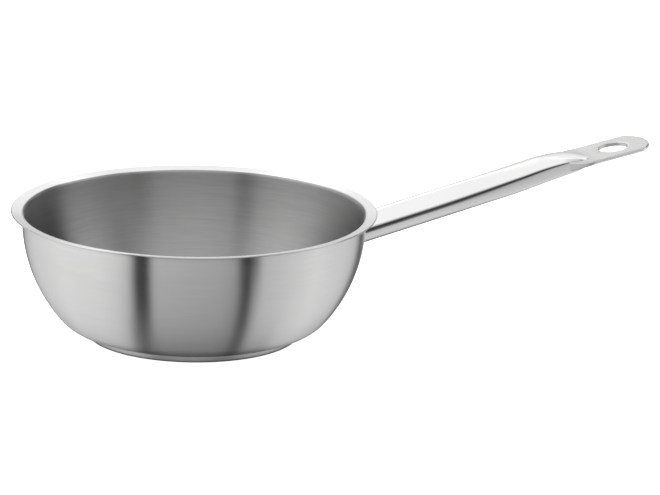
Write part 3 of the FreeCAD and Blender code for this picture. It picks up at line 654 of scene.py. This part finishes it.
def beadGrid(shape):
    # a rippled bead round the tube's root: for each way round, a convex curve from a toe on the bracket
    # to a toe on the tube, swelling with the ripples, and closed behind under both faces
    leg, sheet = shape["leg"], bracketShape["sheet"]

    def foot(grow, lift):
        halfWidth = np.array([handleShape["width"] / 2])
        across, rise = tubeSections(halfWidth, np.array([0.0]), shape["counts"], grow)
        return onTube(handleShape, rootStart(handleShape, across, rise, lift), across, rise)[0]

    corner = foot(0, sheet)
    out, upward = foot(leg, sheet) - corner, foot(0, sheet + leg) - corner
    way = np.linspace(0, 1, len(corner), endpoint=False)
    swell = 1 + shape["ripple"] * (np.abs(np.sin(math.pi * shape["ripples"] * way)) - shape["rippleLevel"])
    rings = []
    for turn in np.radians(np.linspace(*shape["sweep"], 12)):
        full = shape["crown"] if 0 < turn < math.pi / 2 else shape["toe"]
        rings.append(corner + (np.cos(turn) * out + np.sin(turn) * upward) * (swell * full)[:, None])
    rings.append(corner - shape["sink"] * (out + upward))
    return np.stack(rings)


gridPiece("rootWeld", beadGrid(beadShape), [weldFinish], "handle_root_weld", wrapRows=True)


# Camera. focal and width are in the photo's pixels, angles in degrees, lengths in millimetres
cameraView = {"handleTurn": 21.0, "distance": 2349.6, "aimHeight": 73.3, "elevation": 14.745, "yaw": 2.019,
              "pitch": 15.216, "roll": 1.244, "focal": 4000.0, "width": 660.0, "sensor": 36.0}
farClip = 50  # metres


def makeCamera(view):
    # a long lens from above the rim's level, turned round the pan so that the handle heads away to the right
    turn, rise = math.radians(view["handleTurn"]), math.radians(view["elevation"])
    heading = math.radians(view["yaw"] + view["handleTurn"])
    pitch, roll = math.radians(view["pitch"]), math.radians(view["roll"])
    level = view["distance"] * math.cos(rise)
    place = np.array([-level * math.sin(turn), -level * math.cos(turn),
                      view["distance"] * math.sin(rise) + view["aimHeight"]]) * mm
    ahead = np.array([math.sin(heading) * math.cos(pitch), math.cos(heading) * math.cos(pitch),
                      -math.sin(pitch)])
    right = np.array([math.cos(heading), -math.sin(heading), 0])
    up = np.cross(right, ahead)
    right, up = math.cos(roll) * right + math.sin(roll) * up, -math.sin(roll) * right + math.cos(roll) * up
    data = bpy.data.cameras.new("photoCamera")
    data.sensor_fit = "HORIZONTAL"
    data.sensor_width = view["sensor"]
    data.lens = view["focal"] / view["width"] * view["sensor"]
    data.clip_end = farClip
    camera = bpy.data.objects.new("photoCamera", data)
    columns = np.column_stack([right, up, -ahead, place])
    camera.matrix_world = Matrix([*columns.tolist(), [0, 0, 0, 1]])
    scene.collection.objects.link(camera)
    scene.camera = camera


makeCamera(cameraView)


# Floor, in metres
floorLook = {"half": 9.0, "level": -0.0002, "glow": 0.97, "tone": 0.9, "roughness": 0.9}
shadeLook = {"radius": 0.065, "level": -0.0001, "tone": 0.06, "roughness": 1.0, "corners": 64}


def stagePiece(name, points, finishName, look):
    # one flat face of the stage, in a matt grey tone
    mesh = bpy.data.meshes.new(name)
    mesh.from_pydata(points, [], [list(range(len(points)))])
    material = bpy.data.materials.new(finishName)
    material.use_nodes = True
    shader = material.node_tree.nodes["Principled BSDF"]
    shader.inputs["Base Color"].default_value = (look["tone"],) * 3 + (1,)
    shader.inputs["Roughness"].default_value = look["roughness"]
    shader.inputs["Specular IOR Level"].default_value = 0.0
    mesh.materials.append(material)
    piece = bpy.data.objects.new(name, mesh)
    scene.collection.objects.link(piece)
    return piece, shader


def makeFloor(look):
    # a plain pale floor that glows a little, so that it stays white under soft light
    half, level = look["half"], look["level"]
    corners = [(-half, -half, level), (half, -half, level), (half, half, level), (-half, half, level)]
    floor, shader = stagePiece("floor", corners, "paleFloor", look)
    shader.inputs["Emission Color"].default_value = (1, 1, 1, 1)
    shader.inputs["Emission Strength"].default_value = look["glow"]
    floor.visible_glossy = False


def makeShade(look):
    # the dark of the floor under the pan, seen only in reflections
    turn = np.linspace(0, 2 * math.pi, look["corners"], endpoint=False)
    radius = look["radius"]
    ring = np.stack([np.cos(turn) * radius, np.sin(turn) * radius, 0 * turn + look["level"]], -1)
    disc, _ = stagePiece("underShade", ring, "underShade", look)
    disc.visible_camera = False
    disc.visible_shadow = False


makeFloor(floorLook)
makeShade(shadeLook)


# Light. Pairs are the two ends of a soft edge, in degrees, or in shares of a whole ray for the back.
# sides and crown: brightness of the tent at places from left to right, in degrees from the camera
tentLook = {"turn": cameraView["handleTurn"], "fall": 15.0, "top": 1.26, "above": (10, 42),
            "lean": {"by": 6.0, "depth": (42, 118), "rise": (-60, -45), "fall": (-8, 8)},
            "rim": {"by": 6.0, "depth": (20, 100), "left": (-62, -50), "right": (50, 62)},
            "deep": {"tone": 0.25, "depth": (35, 95)},
            "level": {"climb": (-6, 12), "fall": (13, 20)},
            "edge": {"dark": 0.85, "climb": (-27, -17), "rise": (14, 16.5), "fall": (21.2, 23.4)},
            "back": {"up": (-0.32, -0.24), "away": (0.3, 0.6), "rise": (-0.3, -0.15), "fall": (0.3, 0.5),
                     "high": (0.1, 0.5), "gain": 0.25},
            "glow": {"climb": (45, 85), "bands": (((-52, -40), (-30, -20), 0.5), ((-28, -22), (-14, -8), 0.2),
                                                  ((20, 24), (44, 50), 0.25))},
            "under": {"dark": 0.95, "depth": (80, 135), "mouthDepth": (54, 130), "mouthRise": (-24, -14),
                      "mouthFall": (13, 22), "edgeRise": (18, 24), "edgeFall": (29, 38), "edgeSink": 11},
            "sides": ((-90, 0.2), (-84, 0.2), (-79, 0.62), (-70, 0.88), (-50, 1.07), (-33, 1.0), (-26, 0.87),
                      (-22.0, 0.7), (-19.0, 0.02), (-15.3, 0.02), (-13.7, 0.54), (-12, 0.6), (9, 0.5),
                      (14, 0.42), (17.4, 0.05), (18.6, 0.04), (21.0, 0.5), (24, 0.75), (45, 1.05), (62, 0.91),
                      (70, 0.74), (77, 0.05), (90, 0.04)),
            "crown": ((-90, 0.0), (-82, 0.1), (-70, 0.4), (-66, 0.4), (-55, 0.74), (-45, 1.12), (-35, 1.25),
                      (-26, 1.0), (-19, 0.76), (-12, 0.88), (-3, 1.0), (18, 1.0), (22, 0.66), (27, 0.36),
                      (32, 0.6), (37, 0.9), (44, 1.05), (50, 0.9), (54, 0.08), (62, 0.0), (70, 0.45),
                      (90, 0.7))}


def makeTent(look):
    # a light tent with a grey mouth at the camera and a dark edge either side of it. Brushing round the pan
    # spreads each reflection over a cone about the brushing, so the tent is laid out by those cones:
    # bearing = wall place that shows a ray, in degrees right of the camera; climb = the ray's angle on its
    # cone, and depth = the same angle counted downwards
    world = bpy.data.worlds.new("lightTent")
    scene.world = world
    world.use_nodes = True
    tree = world.node_tree
    base = Wire(tree)
    ray = base.node("ShaderNodeTexCoord").out("Generated")
    turn, fall = math.radians(look["turn"]), math.radians(look["fall"])

    def along(direction):
        dot = base.node("ShaderNodeVectorMath", {"operation": "DOT_PRODUCT"}, {0: ray, 1: direction})
        return dot.out("Value")

    def ramp(name, way):
        stops = [((place + 90) / 180, shade) for place, shade in look[name]]
        return base.node("ShaderNodeValToRGB", {"stops": stops}, {"Fac": (way + 90) / 180})

    right = along((math.cos(turn), -math.sin(turn), 0))
    near = along((-math.sin(turn), -math.cos(turn), 0))
    up = along((0, 0, 1))
    ahead = near + math.cos(fall)
    bearing = right.math("ARCTAN2", ahead) * (180 / math.pi)
    outward = (right * right + near * ahead) / (right * right + ahead * ahead).math("SQRT")
    climb = up.math("ARCTAN2", outward) * (180 / math.pi)
    depth = climb * -1

    # low down, the mouth's left edge leans outwards and the tent's dark ends lean inwards
    lean, rim, deep = look["lean"], look["rim"], look["deep"]
    strip = depth.step(*lean["depth"]) * bearing.band(lean["rise"], lean["fall"]) * lean["by"]
    outer = bearing.step(*rim["right"]) + bearing.step(*rim["left"]) - 1
    ends = depth.step(*rim["depth"]) * outer * rim["by"]
    sides = ramp("sides", bearing + (strip + ends)).math("MAXIMUM", depth.step(*deep["depth"]) * deep["tone"])
    crown = ramp("crown", bearing)

    # above level it is up to twice as bright on the left, and dark in a strip that the handle shows
    level, edge = look["level"], look["edge"]
    dark = bearing.band(edge["rise"], edge["fall"]) * climb.step(*edge["climb"]) * edge["dark"]
    low = sides * ((climb.step(*level["climb"]) * (1 - bearing.step(*level["fall"])) + 1) * (1 - dark))

    # the crown of the tent above, with a lit back wall and a few glowing bands
    back, glow = look["back"], look["glow"]
    behind = (up.step(*back["up"]) * (near * -1).step(*back["away"]) * right.band(back["rise"], back["fall"])
              * (up.step(*back["high"]) * back["gain"] + (1 - back["gain"])))
    lit = climb.step(*look["above"]).math("MAXIMUM", behind)
    bands = sum(bearing.band(rise, drop) * tone for rise, drop, tone in glow["bands"])
    high = (crown + climb.step(*glow["climb"]) * bands).math("MAXIMUM", behind) * look["top"]

    # dark below, sooner in the mouth
    under = look["under"]
    mouth = bearing.band(under["mouthRise"], under["mouthFall"])
    sunk = depth + bearing.band(under["edgeRise"], under["edgeFall"]) * under["edgeSink"]
    shadow = depth.step(*under["mouthDepth"]) * mouth + sunk.step(*under["depth"]) * (1 - mouth)
    light = (low * (1 - lit) + high * lit) * (1 - shadow * under["dark"])
    background = tree.nodes["Background"]
    background.inputs["Color"].default_value = (1, 1, 1, 1)
    tree.links.new(light.socket, background.inputs["Strength"])


makeTent(tentLook)
scene.view_settings.view_transform = "Standard"
print("camera, floor and light in place")
